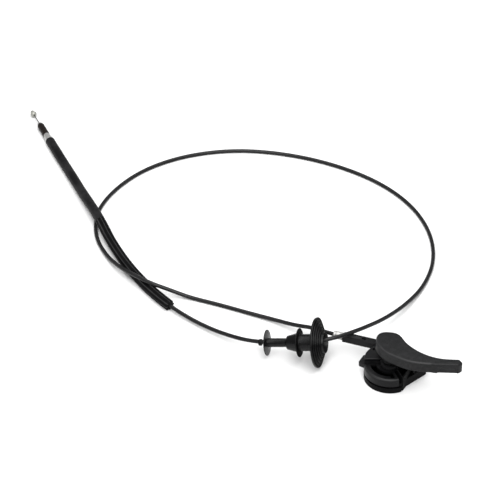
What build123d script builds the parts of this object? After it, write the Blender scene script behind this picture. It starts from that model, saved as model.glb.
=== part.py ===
"""Hood release cable: a pull lever on a round housing, a sheathed cable and a latch nipple.

The origin is the centre of the round housing on the surface that it stands on.
+X points to the lever's tip side, +Y to the back, +Z up. All lengths are millimetres.
"""
from build123d import *
import os
from math import cos, pi, radians, sin, tan

os.makedirs("parts", exist_ok=True)

# Clearances
face_gap = 0.3          # between faces that move past each other
journal_gap = 0.05      # radial play of the lever's journal in its bearing
seat_gap = 0.05         # between pieces that sit in one another
wire_gap = 0.35         # between the wire and what it slides in
cut_past = 2.0          # how far a cut runs beyond what it cuts

# Cable
conduit_dia = 5.0
wire_dia = 1.5
handle_bore_depth = 12.0        # how far the conduit is bored at the handle end
latch_bore_depth = 44.0         # and at the latch end
cable_angle = 21.0              # the cable leaves the housing this far from -X, towards +Y
cable_height = 24.3
conduit_start = 56.0            # along the line of the wire, from the tangent point
first_run = 26.0                # the conduit's first run goes on along that line

# Route of the conduit, from its first run to the grommet and on to the latch
route_to_grommet = [
    (-86.0, 72.0, 17.0), (-108.0, 86.5, 9.5), (-133.0, 104.5, 4.2),
    (-163.0, 119.5, 2.5), (-200.0, 136.5, 2.5), (-234.0, 150.0, 2.5), (-263.0, 157.5, 12.0),
    (-280.5, 160.5, 18.5), (-302.0, 177.5, 18.5), (-324.0, 206.0, 11.5), (-342.5, 240.0, 4.5),
    (-357.0, 281.0, 2.5), (-357.5, 334.0, 2.5), (-335.0, 386.0, 2.5), (-297.5, 431.5, 2.5),
    (-243.0, 463.0, 2.5), (-178.0, 475.5, 2.5), (-110.0, 465.0, 2.5), (-47.0, 438.5, 2.5),
    (7.0, 399.0, 2.5), (45.5, 348.5, 2.5), (66.5, 289.5, 2.5), (68.5, 228.0, 2.5),
    (52.5, 174.0, 3.0), (27.0, 128.5, 10.0), (-1.0, 89.0, 20.0), (-25.0, 60.0, 30.0),
    (-42.5, 43.5, 34.5), (-61.5, 31.1, 35.7),
]
grommet_run_top = (-92.0, 29.4, 28.4)       # the grommet sits on the straight run between these
grommet_run_low = (-155.3, 44.8, 16.1)
route_from_grommet = [
    (-195.0, 74.0, 7.0), (-226.0, 98.5, 5.0), (-257.0, 127.0, 6.2), (-286.0, 165.0, 6.2),
    (-313.0, 209.5, 7.4), (-335.5, 258.0, 10.8), (-348.0, 292.0, 14.0), (-361.0, 325.5, 14.0),
    (-375.5, 361.0, 10.4), (-393.5, 407.0, 7.2), (-417.0, 463.0, 6.0), (-441.0, 523.0, 5.0),
]

# Housing
cup_radius = 29.5
cup_wall = 1.6
base_height = 7.2               # lower shell
base_floor = 2.0
seam = 2.6                      # open groove between the two shells
spigot_reach = 2.0              # how far the spigot goes into the upper shell
spigot_wall = 1.8
deck_top = 20.0
deck_thickness = 2.6
shoulder = 3.0
slot_width = 7.0                # curved slot in the deck
slot_margin = 7.0               # from the slot to the wall's outside
slot_from = 183.0
slot_to = 281.0
pocket_size = (4.6, 4.0)
pocket_x = 2.3
pocket_margin = 6.1             # from the pocket's centre to the wall's outside, at the front
opening_from = 289.0            # beside the ear the upper shell is open between these angles
opening_to = 347.0
opening_inner = 13.0            # and from this radius outwards
tab_corners = [(3.0, 17.5), (-0.1, 16.5), (-5.9, 4.8), (-5.5, 3.2), (1.5, -1.5)]   # x from the wall
tab_span = (14.5, 20.0)

# Mounting ear on the right-hand side
ear_reach = 14.0                # how far it stands out beyond the round wall
ear_front = (12.9, 8.0)         # start of its outer wall: x, and distance inside the round's front
ear_side_y = 6.3                # where that wall ends
ear_corner_y = 17.0
ear_back = (21.0, 1.0)          # back corner: x, and distance inside the round's back
ear_root = (10.0, 10.0)         # corner inside the housing
ear_plate = 3.0
ear_wall = 2.0
ear_wall_height = 10.5
ear_corner_radius = 5.0
ear_hole_inset = 9.0            # from the ear's outer end
ear_hole_y = 12.0
ear_hole_dia = 6.5
ear_boss_dia = 13.0
ear_boss_height = 6.0
rib_width = 1.8
rib_height = 19.4
rib_stem = (13.8, 5.9)          # x, and distance inside the round's front
rib_ends = [(8.0, -8.6), (23.2, -6.4)]

# Cover over the cable drum, with the arm that guides the cable out
cover_top = 28.0
cover_roof = 1.4
cover_front = 2.7               # front wall
cover_groove = (1.5, 2.2)       # depth and height of the groove under the roof's front edge
arm_width = 9.2
arm_height = 8.0
arm_wall = 1.5
arm_grip = 11.0                 # how much of the ferrule the arm holds
arm_stop = 1.0                  # wall between the wire's channel and the ferrule
arm_slit = 2.6                  # slit in the underside that lets the wire in
arm_window = (5.2, 2.6)
arm_window_at = 40.0
cover_hole_place = (-17.6, 17.6)
cover_hole = (2.4, 4.0)

# Lever
lever_bottom = 39.5
lever_height = 13.0
lever_wall = 2.6
lever_skin = 2.8
lever_inset_step = 5.2          # spacing of the points that carry the inner outline
lever_edge_radius = 2.4
lever_lower_radius = 0.6
head_front = [(-16.6, 3.4), (-14.3, -6.0), (-6.9, -17.4), (4.2, -26.2), (20.7, -35.4),
              (44.0, -39.7)]
blade_front = (73.2, -41.6)
blade_tip = (79.6, -36.0)
tip_corners = [(77.5, -39.9), (77.6, -32.1)]
blade_back = (73.8, -30.5)
back_curve = [(54.2, -28.2), (40.9, -22.4), (27.9, -12.0), (18.4, 0.2)]
head_right = (14.1, 9.6)
head_back = (0.0, 19.9)
scallop_centre_x = 62.5
scallop_width = 22.5            # where it meets the lower edge
scallop_height = 10.2
scallop_depth = 1.1
scallop_lean = -3.0             # degrees, to follow the curved side
lever_rib = 1.6
lever_rib_drop = 3.0            # ribs stop this far above the lower edge
lever_cross_ribs = [18.0, 32.0, 46.0]
boss_dia = 19.0
key_width = 12.6                # square on which the drum sits
journal_dia = 12.0
journal_end = 16.8
lever_turn = 40.0               # how far the lever is pulled, in degrees

# Cable drum
drum_hub_dia = 21.4
drum_hub_front = 23.2           # the hub is lower at the front
drum_room = 2.3                 # between the drum's rim and the wall around it
wire_depth = 1.4                # how far inside the drum's rim the wire lies
drum_thickness = 4.0
drum_root = 2.0                 # how far its sector reaches into the hub
drum_lead = 13.0                # sector beyond the nipple, in degrees
drum_tail = 9.0
nipple_dia = 4.8
nipple_length = 4.0

# Screws and washer
screw_dia = 5.0
screw_length = 20.0
screw_head_dia = 10.0
screw_head_height = 3.2
screw_cross = (5.5, 1.2, 1.6)   # length, width and depth of the cross recess
washer_dia = 19.0
washer_thickness = 1.2
base_screw_dia = 2.9
base_screw_length = 9.0
base_screw_head_dia = 5.6
base_screw_head_height = 1.8
base_screw_cross = (3.2, 0.8, 0.9)
base_screw_margin = 7.5         # from their circle to the wall's outside
base_screw_angles = [75.0, 160.0, 355.0]
post_dia = 7.0

# Ferrule at the handle end
ferrule_dia = 6.4
ferrule_back = 2.0              # end wall behind the conduit
ferrule_reach = 20.5            # how much of the conduit it holds
ferrule_crimps = [11.2, 13.4]   # grooves, measured from the conduit's start
ferrule_crimp_width = 0.9
ferrule_crimp_depth = 0.25

# Grommet, from its tail to its bell, on one straight run of the route
grommet_from = 14.5             # its tail is this far from the run's lower end
grommet_length = 71.3
tail_flange_dia = 30.8
tail_flange = 1.2
neck_dia = 10.6
neck_length = 22.4
cone_start_dia = 16.5
cone_end_dia = 23.5
cone_length = 15.8
cone_chamfer = 1.9
mid_flange_dia = 34.0
mid_flange = 1.2
barrel_dia = 20.0
barrel_length = 20.2
bell_dia = 59.2
bell_rim = 1.2
bell_dish = 2.4                 # how far the bell's back is hollowed towards the barrel
bell_step_dia = 44.0
bell_step = 4.0
bell_inner_dia = 31.0
bell_inner = 2.5
bell_end_dia = 25.0
grommet_bore = 6.2
bell_mouth_dia = 18.6
bell_mouth_depth = 30.0

# Stop ring on the conduit beside the grommet
stop_ring_dia = 8.0
stop_ring_length = 3.2
stop_ring_drop = 0.9            # it is thicker below the conduit
stop_ring_from = 579.4          # measured back from the conduit's latch end

# Sleeves on the conduit, measured back from its latch end
ribbed_from = 437.0
ribbed_to = 243.5
ribbed_dia = 12.0
ribbed_root_dia = 10.2
ribbed_bore = 6.2
rib_count = 8
smooth_from = 243.0
smooth_to = 33.0
smooth_dia = 11.2
smooth_bore = 6.6

# Latch end, measured from the conduit's end along the last run
band_from = -32.5
band_length = 14.5
band_wide_dia = 9.4
band_narrow_dia = 7.8
band_wide_length = 3.2
band_narrow_length = 4.0
cap_dia = 8.0
cap_nose_dia = 4.6
cap_nose_length = 5.0
cap_tip = 13.0                   # the cap's tip is this far past the conduit's end
free_wire = 24.0                # bare wire between the cap and the latch nipple
latch_nipple_dia = 7.0
latch_nipple_flat = 0.8
latch_stub_dia = 4.2
latch_wire_seat = 1.5           # how far the wire goes into the nipple
latch_stub_length = 3.2
latch_wire_inside = 28.0        # straight wire inside the cap and the conduit

# Derived places
cup_inner = cup_radius - cup_wall
drum_rim = cup_inner - drum_room
cable_offset = drum_rim - wire_depth    # from the pivot to the line of the wire
slot_outer = cup_radius - slot_margin
slot_inner = slot_outer - slot_width
pocket_place = (pocket_x, pocket_margin - cup_radius)
tab_outline = [(x - cup_radius, y) for x, y in tab_corners]
ear_end = cup_radius + ear_reach
ear_start = (ear_front[0], ear_front[1] - cup_radius)
ear_side = (ear_end, ear_side_y)
ear_back_corners = [(ear_end, ear_corner_y), (ear_back[0], cup_radius - ear_back[1]), ear_root]
ear_hole_place = (ear_end - ear_hole_inset, ear_hole_y)
rib_foot = (rib_stem[0], rib_stem[1] - cup_radius)
base_screw_circle = cup_radius - base_screw_margin
cable_dir = Vector(-cos(radians(cable_angle)), sin(radians(cable_angle)), 0)
tangent_angle = 90 - cable_angle
tangent_point = Vector(
    cable_offset * cos(radians(tangent_angle)), cable_offset * sin(radians(tangent_angle)), cable_height)
conduit_first = tangent_point + cable_dir * conduit_start
low_end, top_end = Vector(*grommet_run_low), Vector(*grommet_run_top)
route = [conduit_first, conduit_first + cable_dir * first_run]
route += [Vector(*point) for point in route_to_grommet] + [top_end, low_end]
route += [Vector(*point) for point in route_from_grommet]
last_run = route[-1] - route[-2]
latch_dir = last_run.normalized()
conduit_end = route[-1]
grommet_dir = (top_end - low_end).normalized()
grommet_start = low_end + grommet_dir * grommet_from
grommet_end = grommet_start + grommet_dir * grommet_length
ferrule_start = conduit_start - ferrule_back
arm_length = ferrule_start + arm_grip
wire_bore = wire_dia + 2 * wire_gap
wire_travel = cable_offset * radians(lever_turn)


def along(origin, direction, x_dir=None):
    """A plane that stands across a direction, its normal along it."""
    if x_dir is None:
        return Plane(origin=origin, z_dir=direction)
    return Plane(origin=origin, x_dir=x_dir, z_dir=direction)


def rod(start, direction, diameter, length):
    """A round bar from a point along a direction."""
    bar = Cylinder(diameter / 2, length, align=(Align.CENTER, Align.CENTER, Align.MIN))
    return along(start, direction) * bar


def post(x, y, bottom, top, diameter):
    """An upright round bar."""
    return rod(Vector(x, y, bottom), Vector(0, 0, 1), diameter, top - bottom)


def turned(start, direction, profile):
    """A turned solid: profile is a list of (distance along, radius)."""
    section = make_face(Polyline(*[(radius, at) for at, radius in profile], close=True))
    upright = revolve(Plane.XZ * section, Axis.Z)
    return along(start, direction) * upright


def ring_sector(inner, outer, bottom, top, start_angle, end_angle):
    """Part of a flat ring between two angles, in degrees."""
    first, last = radians(start_angle), radians(end_angle)
    middle = (first + last) / 2
    on = lambda radius, angle: (radius * cos(angle), radius * sin(angle))
    edges = [
        Line(on(inner, first), on(outer, first)),
        ThreePointArc(on(outer, first), on(outer, middle), on(outer, last)),
        Line(on(outer, last), on(inner, last)),
        ThreePointArc(on(inner, last), on(inner, middle), on(inner, first)),
    ]
    return extrude(Plane.XY.offset(bottom) * make_face(edges), top - bottom)


def corner_radii(points):
    """Radius of the arc at each inner point: 0.45 of the shorter run over tan(half the turn)."""
    radii = []
    for before, at, after in zip(points, points[1:], points[2:]):
        turn = (at - before).get_angle(after - at)
        shorter = min((at - before).length, (after - at).length)
        radii.append(0.45 * shorter / tan(radians(turn) / 2))
    return radii


def conduit_path():
    """Straight runs joined by tangent arcs."""
    return FilletPolyline(*route, radius=corner_radii(route))


def stretch(path, start, end):
    """The part of a path between two distances measured back from its end."""
    total = path.length
    pieces = []
    walked = 0.0
    for edge in path.edges():
        low = max(total - start, walked)
        high = min(total - end, walked + edge.length)
        if high - low > 0.01:
            pieces.append(edge.trim((low - walked) / edge.length, (high - walked) / edge.length))
        walked += edge.length
    return Wire(pieces)


def swept(section, path):
    """Carry a flat section along a path, square to it."""
    return sweep(Plane(origin=path @ 0, z_dir=path % 0) * section, path=path)


def base_screw_places():
    """Where the three screws of the shells stand."""
    angles = [radians(angle) for angle in base_screw_angles]
    return [(base_screw_circle * cos(angle), base_screw_circle * sin(angle)) for angle in angles]


def ear_region(gap):
    """Where the ear takes the place of the round: beyond its outer wall's inner face."""
    run = Vector(*ear_side) - Vector(*ear_start)
    beyond = Plane(origin=ear_start, x_dir=run, z_dir=(0, 0, 1)) * Pos(0, ear_wall + seat_gap - gap, 0) * Box(
        8 * cup_radius, 4 * cup_radius, 4 * deck_top, align=(Align.CENTER, Align.MAX, Align.CENTER))
    right = Pos(rib_foot[0] - rib_width / 2 - seat_gap + gap, 0, 0) * Box(
        4 * cup_radius, 4 * cup_radius, 4 * deck_top, align=(Align.MIN, Align.CENTER, Align.CENTER))
    return beyond & right


def make_base():
    """Lower shell: floor, wall, and a spigot that centres the upper shell."""
    shell = post(0, 0, 0, base_height, 2 * cup_radius)
    shell = fillet(shell.edges().group_by(Axis.Z)[0], 1.0)
    spigot_dia = 2 * (cup_inner - seat_gap)
    spigot_top = base_height + seam + spigot_reach
    shell += post(0, 0, base_height, spigot_top, spigot_dia)
    shell -= post(0, 0, base_floor, spigot_top, spigot_dia - 2 * spigot_wall)
    shell -= ear_region(0)
    for x, y in base_screw_places():
        shell += post(x, y, base_floor, base_height - face_gap, post_dia)
        shell -= post(x, y, 0, base_height, base_screw_dia + 2 * face_gap)
        shell -= post(x, y, 0, base_screw_head_height, base_screw_head_dia + 2 * face_gap)
    return shell


def make_ear():
    """Ribbed mounting ear that stands out to the right, open at the top."""
    outline = make_face(Polyline(ear_start, ear_side, *ear_back_corners, close=True))
    outline = fillet(outline.vertices().sort_by(Axis.X)[-2:], ear_corner_radius)
    ear = extrude(outline, ear_wall_height)
    hollow = offset(outline, -ear_wall)
    ear -= extrude(Plane.XY.offset(ear_plate) * hollow, ear_wall_height)
    ear += post(*ear_hole_place, 0, ear_boss_height, ear_boss_dia)
    return ear


def make_ribs():
    """Upright ribs that meet in a Y beside the wall."""
    ribs = None
    for end in rib_ends:
        rib_line = Line(rib_foot, end)
        rib = extrude(trace(rib_line, rib_width), rib_height)
        ribs = rib if ribs is None else ribs + rib
    return ribs


def make_housing():
    """Upper shell: round wall, deck with bearing and slots, ear, ribs and tab."""
    bottom = base_height + seam
    front = post(0, 0, bottom, deck_top, 2 * cup_radius)
    front = fillet(front.edges().group_by(Axis.Z)[-1], shoulder)
    back_half = Pos(0, cup_radius, 0) * Box(
        4 * cup_radius, 2 * cup_radius, deck_top, align=(Align.CENTER, Align.CENTER, Align.MIN))
    shell = (front - back_half) + (post(0, 0, bottom, deck_top, 2 * cup_radius) & back_half)
    inside = post(0, 0, bottom, deck_top - deck_thickness, 2 * cup_inner)
    below = post(0, 0, 0, bottom, 2 * (cup_radius + seat_gap))
    shell -= ring_sector(opening_inner, 2 * cup_radius, 0, 2 * deck_top, opening_from, opening_to)
    shell += extrude(Plane.XY.offset(tab_span[0]) * make_face(Polyline(*tab_outline, close=True)),
                     tab_span[1] - tab_span[0])
    shell -= inside
    shell += make_ear() - ((below + inside) - ear_region(seat_gap))
    shell += make_ribs() - (below - ear_region(seat_gap))
    for x, y in base_screw_places():
        shell += post(x, y, base_height, deck_top - deck_thickness, post_dia)
    shell -= post(0, 0, 0, deck_top, journal_dia + 2 * journal_gap)
    shell -= ring_sector(slot_inner, slot_outer, 0, deck_top, slot_from, slot_to)
    shell -= Pos(*pocket_place, deck_top) * Box(*pocket_size, 3 * deck_thickness)
    for x, y in base_screw_places():
        shell -= post(x, y, 0, base_screw_length + 1.0, base_screw_dia + 2 * seat_gap)
    shell -= post(*ear_hole_place, 0, deck_top, ear_hole_dia)
    return shell


def make_arm():
    """Channel that carries the wire from the drum to the conduit's ferrule."""
    arm = along(tangent_point, cable_dir, Vector(0, 0, 1)) * Box(
        arm_height, arm_width, arm_length, align=(Align.CENTER, Align.CENTER, Align.MIN))
    return Pos(0, 0, cover_top - arm_height / 2 - cable_height) * arm


def arm_cut():
    """Everything taken out of the arm: channel, slit, ferrule seat and window."""
    frame = along(tangent_point, cable_dir, Vector(0, 0, 1))
    inner = arm_width - 2 * arm_wall
    channel = frame * Box(
        inner - 1.0, inner, ferrule_start - arm_stop, align=(Align.CENTER, Align.CENTER, Align.MIN))
    seat = rod(tangent_point + cable_dir * ferrule_start, cable_dir, ferrule_dia + 2 * seat_gap, arm_length)
    seat += rod(tangent_point, cable_dir, wire_bore, arm_length)
    slit = frame * Box(arm_height, arm_slit, arm_length + 1, align=(Align.MAX, Align.CENTER, Align.MIN))
    window_at = tangent_point + cable_dir * arm_window_at
    window = along(window_at, Vector(0, 0, 1), cable_dir) * Box(
        *arm_window, arm_height, align=(Align.CENTER, Align.CENTER, Align.MIN))
    return [channel, seat, slit, window]


def make_cover():
    """Half-round cover over the drum, moulded in one with the cable arm."""
    half = Pos(0, cup_radius, 0) * Box(4 * cup_radius, 2 * cup_radius, 3 * cover_top)
    cover = post(0, 0, deck_top, cover_top, 2 * cup_radius) & half
    cover = fillet(cover.edges().group_by(Axis.Z)[-1], 1.0)
    outside = post(0, 0, deck_top, cover_top, 2 * cup_inner)
    cover += make_arm() - outside
    room = post(0, 0, deck_top, cover_top - cover_roof, 2 * cup_inner)
    room &= Pos(0, cover_front, 0) * half
    cover -= room
    groove_depth, groove_height = cover_groove
    cover -= Pos(0, 0, cover_top - cover_roof) * Box(
        4 * cup_radius, 2 * groove_depth, groove_height, align=(Align.CENTER, Align.CENTER, Align.MAX))
    for cut in arm_cut():
        cover -= cut
    cover -= post(0, 0, deck_top, cover_top, boss_dia + 4 * face_gap)
    mouth = drum_hub_dia + 4 * face_gap
    cover -= Pos(0, 0, deck_top) * Box(
        mouth, mouth, cover_top - cover_roof - deck_top, align=(Align.CENTER, Align.CENTER, Align.MIN))
    cover -= Pos(*cover_hole_place, cover_top) * Box(*cover_hole, 4 * cover_roof)
    return cover


def lever_outline():
    """Round head that sweeps into a narrow blade, its back edge in an S."""
    front = Spline(*head_front, blade_front, tangents=[(0, -1), (1, -0.02)])
    tip = Spline(blade_front, tip_corners[0], blade_tip, tip_corners[1], blade_back,
                 tangents=[(1, -0.02), (-1, 0.05)])
    back = Spline(blade_back, *back_curve, head_right, tangents=[(-1, 0.05), (-0.42, 1)])
    head = Spline(head_right, head_back, head_front[0], tangents=[(-0.42, 1), (0, -1)])
    return make_face([front, tip, back, head])


def inset(outline, distance, step):
    """A smooth closed outline, everywhere this far inside another."""
    wire = outline.face().outer_wire()
    up = outline.face().normal_at()
    count = round(wire.length / step)
    places = [index / count for index in range(count)]
    points = [wire @ place + up.cross(wire % place) * distance for place in places]
    return make_face(Spline(*points, periodic=True))


def make_scallop():
    """Arch-shaped thumb recess in the blade's front side, open at its lower edge."""
    radius = (scallop_width ** 2 / 4 + scallop_height ** 2) / (2 * scallop_height)
    edge_y = blade_front[1] + 0.5
    centre = Pos(scallop_centre_x, edge_y, lever_bottom + scallop_height - radius) * Rot(0, 0, scallop_lean)
    arch = Rot(90, 0, 0) * Cylinder(radius, cup_radius, align=(Align.CENTER, Align.CENTER, Align.MIN))
    return centre * Pos(0, scallop_depth, 0) * arch


def make_lever():
    """Hollow moulded lever with ribs, a boss, a square key and a journal."""
    outline = lever_outline()
    body = extrude(Plane.XY.offset(lever_bottom) * outline, lever_height)
    body = fillet(body.edges().group_by(Axis.Z)[-1], lever_edge_radius)
    body = fillet(body.edges().group_by(Axis.Z)[0], lever_lower_radius)
    inside = inset(outline, lever_wall, lever_inset_step)
    cavity = extrude(Plane.XY.offset(lever_bottom) * inside, lever_height - lever_skin)
    spine = Line((0, 0), (blade_tip[0], (blade_front[1] + blade_back[1]) / 2))
    ribs = extrude(trace(spine, lever_rib), lever_height)
    spine_dir = Vector(*blade_tip).normalized()
    for reach in lever_cross_ribs:
        cross = Box(2 * cup_radius, lever_rib, lever_height, align=(Align.CENTER, Align.CENTER, Align.MIN))
        ribs += Plane(origin=spine_dir * reach, x_dir=spine_dir.rotate(Axis.Z, 90), z_dir=(0, 0, 1)) * cross
    ribs = Pos(0, 0, lever_bottom + lever_rib_drop) * ribs
    body -= cavity
    body += ribs & cavity
    body -= make_scallop()
    roof = lever_bottom + lever_height - lever_skin
    body += post(0, 0, cover_top - face_gap - cover_roof / 2, roof, boss_dia)
    key_bottom = deck_top + face_gap
    body += Pos(0, 0, key_bottom) * Box(
        key_width, key_width, cover_top - key_bottom, align=(Align.CENTER, Align.CENTER, Align.MIN))
    body += post(0, 0, journal_end, key_bottom, journal_dia)
    body -= post(0, 0, 0, journal_end + screw_length, screw_dia + 2 * seat_gap)
    return body


def make_drum():
    """Sector with a groove for the wire and a pocket for its nipple."""
    bottom = cable_height - drum_thickness / 2
    top = cable_height + drum_thickness / 2
    hub = post(0, 0, deck_top + face_gap, top, drum_hub_dia)
    hub -= Pos(0, -drum_hub_dia, drum_hub_front) * Box(
        2 * drum_hub_dia, 2 * drum_hub_dia, top, align=(Align.CENTER, Align.CENTER, Align.MIN))
    first = tangent_angle - drum_lead
    last = tangent_angle + lever_turn + drum_tail
    drum = hub + ring_sector(drum_hub_dia / 2 - drum_root, drum_rim, bottom, top, first, last)
    groove_bottom = cable_offset - wire_dia / 2 - wire_gap
    drum -= ring_sector(groove_bottom, drum_rim + cut_past, cable_height - wire_bore / 2,
                        cable_height + wire_bore / 2, first - 1, last + 1)
    pocket = post(tangent_point.X, tangent_point.Y, cable_height - nipple_length / 2,
                  top + 1, nipple_dia + 2 * seat_gap)
    key = Box(key_width + 2 * seat_gap, key_width + 2 * seat_gap, 4 * top)
    return drum - pocket - key


def make_handle_nipple():
    """Small barrel on the end of the wire, with a cross hole for it."""
    low = cable_height - nipple_length / 2 + seat_gap
    barrel = post(tangent_point.X, tangent_point.Y, low, low + nipple_length - 2 * seat_gap, nipple_dia)
    barrel = fillet(barrel.edges().filter_by(GeomType.CIRCLE), 0.5)
    return barrel - rod(tangent_point - cable_dir * 1.2, cable_dir, wire_dia, nipple_dia)


def cross_recess(x, y, low, size):
    """Cross in the lower face of a screw's head."""
    length, width, depth = size
    bars = Box(length, width, 2 * depth) + Box(width, length, 2 * depth)
    return Pos(x, y, low) * bars


def make_lever_screw():
    """Screw that holds the lever and the washer from below."""
    head_top = journal_end - washer_thickness
    shank = post(0, 0, head_top, journal_end + screw_length - 1.5, screw_dia)
    head = post(0, 0, head_top - screw_head_height, head_top, screw_head_dia)
    head = fillet(head.edges().group_by(Axis.Z)[0], 0.8)
    return shank + head - cross_recess(0, 0, head_top - screw_head_height, screw_cross)


def make_washer():
    """Plain washer between the screw's head and the journal."""
    low = journal_end - washer_thickness
    return post(0, 0, low, journal_end, washer_dia) - post(0, 0, low, journal_end, screw_dia + 2 * seat_gap)


def make_base_screws():
    """Three screws that close the two shells from below."""
    screws = []
    for x, y in base_screw_places():
        head = post(x, y, face_gap, base_screw_head_height, base_screw_head_dia)
        head -= cross_recess(x, y, face_gap, base_screw_cross)
        screws.append(head + post(x, y, base_screw_head_height, base_screw_length, base_screw_dia))
    return Compound(screws)


def make_handle_wire():
    """Straight wire from the drum's nipple through the arm into the conduit."""
    start = nipple_dia / 2 + wire_gap
    length = conduit_start + handle_bore_depth - 1.0 - start
    return rod(tangent_point + cable_dir * start, cable_dir, wire_dia, length)


def make_handle_ferrule(path):
    """Crimped metal ferrule on the conduit's first stretch, seated in the arm's end."""
    near = stretch(path, path.length, path.length - ferrule_reach)
    body = rod(tangent_point + cable_dir * ferrule_start, cable_dir, ferrule_dia, ferrule_back)
    body += swept(Circle(ferrule_dia / 2), near)
    for place in ferrule_crimps:
        at = conduit_first + cable_dir * place
        groove = rod(at, cable_dir, ferrule_dia + cut_past, ferrule_crimp_width)
        groove -= rod(at, cable_dir, ferrule_dia - 2 * ferrule_crimp_depth, ferrule_crimp_width)
        body -= groove
    longer = stretch(path, path.length, path.length - ferrule_reach - cut_past)
    body -= swept(Circle(conduit_dia / 2 + seat_gap), longer)
    return body - rod(tangent_point, cable_dir, wire_bore, conduit_start)


def make_conduit(path):
    """The sheathed cable, with the wire's bore at both ends."""
    tube = swept(Circle(conduit_dia / 2), path)
    tube -= rod(conduit_first, cable_dir, wire_bore, handle_bore_depth)
    return tube - rod(conduit_end, latch_dir * -1, wire_bore, latch_bore_depth)


def make_grommet():
    """Rubber grommet: tail flange, neck, cone, thin flange, barrel and stepped bell."""
    cone_at = tail_flange + neck_length
    mid_at = cone_at + cone_length
    barrel_at = mid_at + mid_flange
    bell_at = barrel_at + barrel_length
    step_at = bell_at + bell_rim
    inner_at = step_at + bell_step
    end_at = inner_at + bell_inner
    profile = [(0, 0), (0, tail_flange_dia / 2), (tail_flange, tail_flange_dia / 2 - 0.4),
               (tail_flange, neck_dia / 2), (cone_at, neck_dia / 2),
               (cone_at + cone_chamfer, cone_start_dia / 2), (mid_at, cone_end_dia / 2),
               (mid_at, mid_flange_dia / 2), (barrel_at, mid_flange_dia / 2),
               (barrel_at, barrel_dia / 2), (bell_at + bell_dish, barrel_dia / 2), (bell_at, bell_dia / 2),
               (step_at, bell_dia / 2), (inner_at, bell_step_dia / 2), (end_at, bell_inner_dia / 2),
               (end_at, bell_end_dia / 2), (grommet_length, bell_end_dia / 2), (grommet_length, 0)]
    body = turned(grommet_start, grommet_dir, profile)
    body -= rod(grommet_start - grommet_dir, grommet_dir, grommet_bore, grommet_length)
    mouth_floor = grommet_end - grommet_dir * bell_mouth_depth
    return body - rod(mouth_floor, grommet_dir, bell_mouth_dia, bell_mouth_depth + 1)


def make_stop_ring(path):
    """Small ring clamped on the conduit beside the grommet's tail."""
    place = 1 - stop_ring_from / path.length
    ring = rod(path @ place - Vector(0, 0, stop_ring_drop), path % place, stop_ring_dia, stop_ring_length)
    ring = fillet(ring.edges().filter_by(GeomType.CIRCLE), 0.8)
    near = stretch(path, stop_ring_from + stop_ring_length, stop_ring_from - 2 * stop_ring_length)
    return ring - swept(Circle(conduit_dia / 2 + seat_gap), near)


def make_ribbed_sleeve(path):
    """Extruded rubber sleeve with ribs along it."""
    corners = []
    for index in range(2 * rib_count):
        radius = (ribbed_dia if index % 2 == 0 else ribbed_root_dia) / 2
        angle = pi * index / rib_count
        corners.append((radius * cos(angle), radius * sin(angle)))
    section = make_face(Polyline(*corners, close=True)) - Circle(ribbed_bore / 2)
    return swept(section, stretch(path, ribbed_from, ribbed_to))


def make_smooth_sleeve(path):
    """Smooth tube over the conduit next to the latch end."""
    section = Circle(smooth_dia / 2) - Circle(smooth_bore / 2)
    return swept(section, stretch(path, smooth_from, smooth_to))


def make_band():
    """Flared metal band between the smooth sleeve and the end cap."""
    start = conduit_end + latch_dir * band_from
    profile = [(0, 0), (0, band_wide_dia / 2 - 0.3), (0.4, band_wide_dia / 2),
               (band_wide_length, band_wide_dia / 2),
               (band_length - band_narrow_length, band_narrow_dia / 2),
               (band_length, band_narrow_dia / 2), (band_length, 0)]
    body = turned(start, latch_dir, profile)
    return body - rod(start, latch_dir, conduit_dia + 2 * seat_gap, band_length)


def make_cap():
    """Bullet-shaped end cap with a hole in its nose for the wire."""
    start = conduit_end + latch_dir * (band_from + band_length)
    length = cap_tip - band_from - band_length
    profile = [(0, 0), (0, cap_dia / 2 - 0.3), (0.5, cap_dia / 2), (length - cap_nose_length, cap_dia / 2),
               (length - 1, cap_nose_dia / 2 + 0.6), (length, cap_nose_dia / 2), (length, 0)]
    body = turned(start, latch_dir, profile)
    body -= rod(start, latch_dir, conduit_dia + 2 * seat_gap, length - cap_tip + seat_gap)
    return body - rod(start, latch_dir, wire_bore, length)


def make_latch_wire():
    """Bare wire that slides out of the cap, with its straight part inside."""
    start = conduit_end + latch_dir * (cap_tip - latch_wire_inside)
    return rod(start, latch_dir, wire_dia, latch_wire_inside + free_wire + latch_wire_seat)


def make_latch_nipple():
    """Cast nipple: a ball with a stub beyond it and a countersunk wire entry."""
    radius = latch_nipple_dia / 2
    face = conduit_end + latch_dir * (cap_tip + free_wire)
    centre = face + latch_dir * (radius - latch_nipple_flat)
    ball = along(centre, latch_dir) * Sphere(radius)
    ball += rod(centre, latch_dir, latch_stub_dia, radius + latch_stub_length - 0.6)
    behind = rod(face - latch_dir * radius, latch_dir, latch_nipple_dia, radius)
    ball -= behind
    sink = turned(face, latch_dir, [(0, 0), (0, 1.6), (1.2, wire_dia / 2), (1.2, 0)])
    return ball - sink - rod(face, latch_dir, wire_dia + 2 * seat_gap, latch_wire_seat + seat_gap)


def report_route(path):
    """Print the radii, the length and the conduit's volume against its section."""
    radii = corner_radii(route)
    runs = [(after - before).length for before, after in zip(route, route[1:])]
    print("conduit length", round(path.length, 1), "runs", round(min(runs), 1), "to", round(max(runs), 1))
    print("radii", [round(radius) for radius in radii])
    print("wire travel", round(wire_travel, 2))


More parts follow.
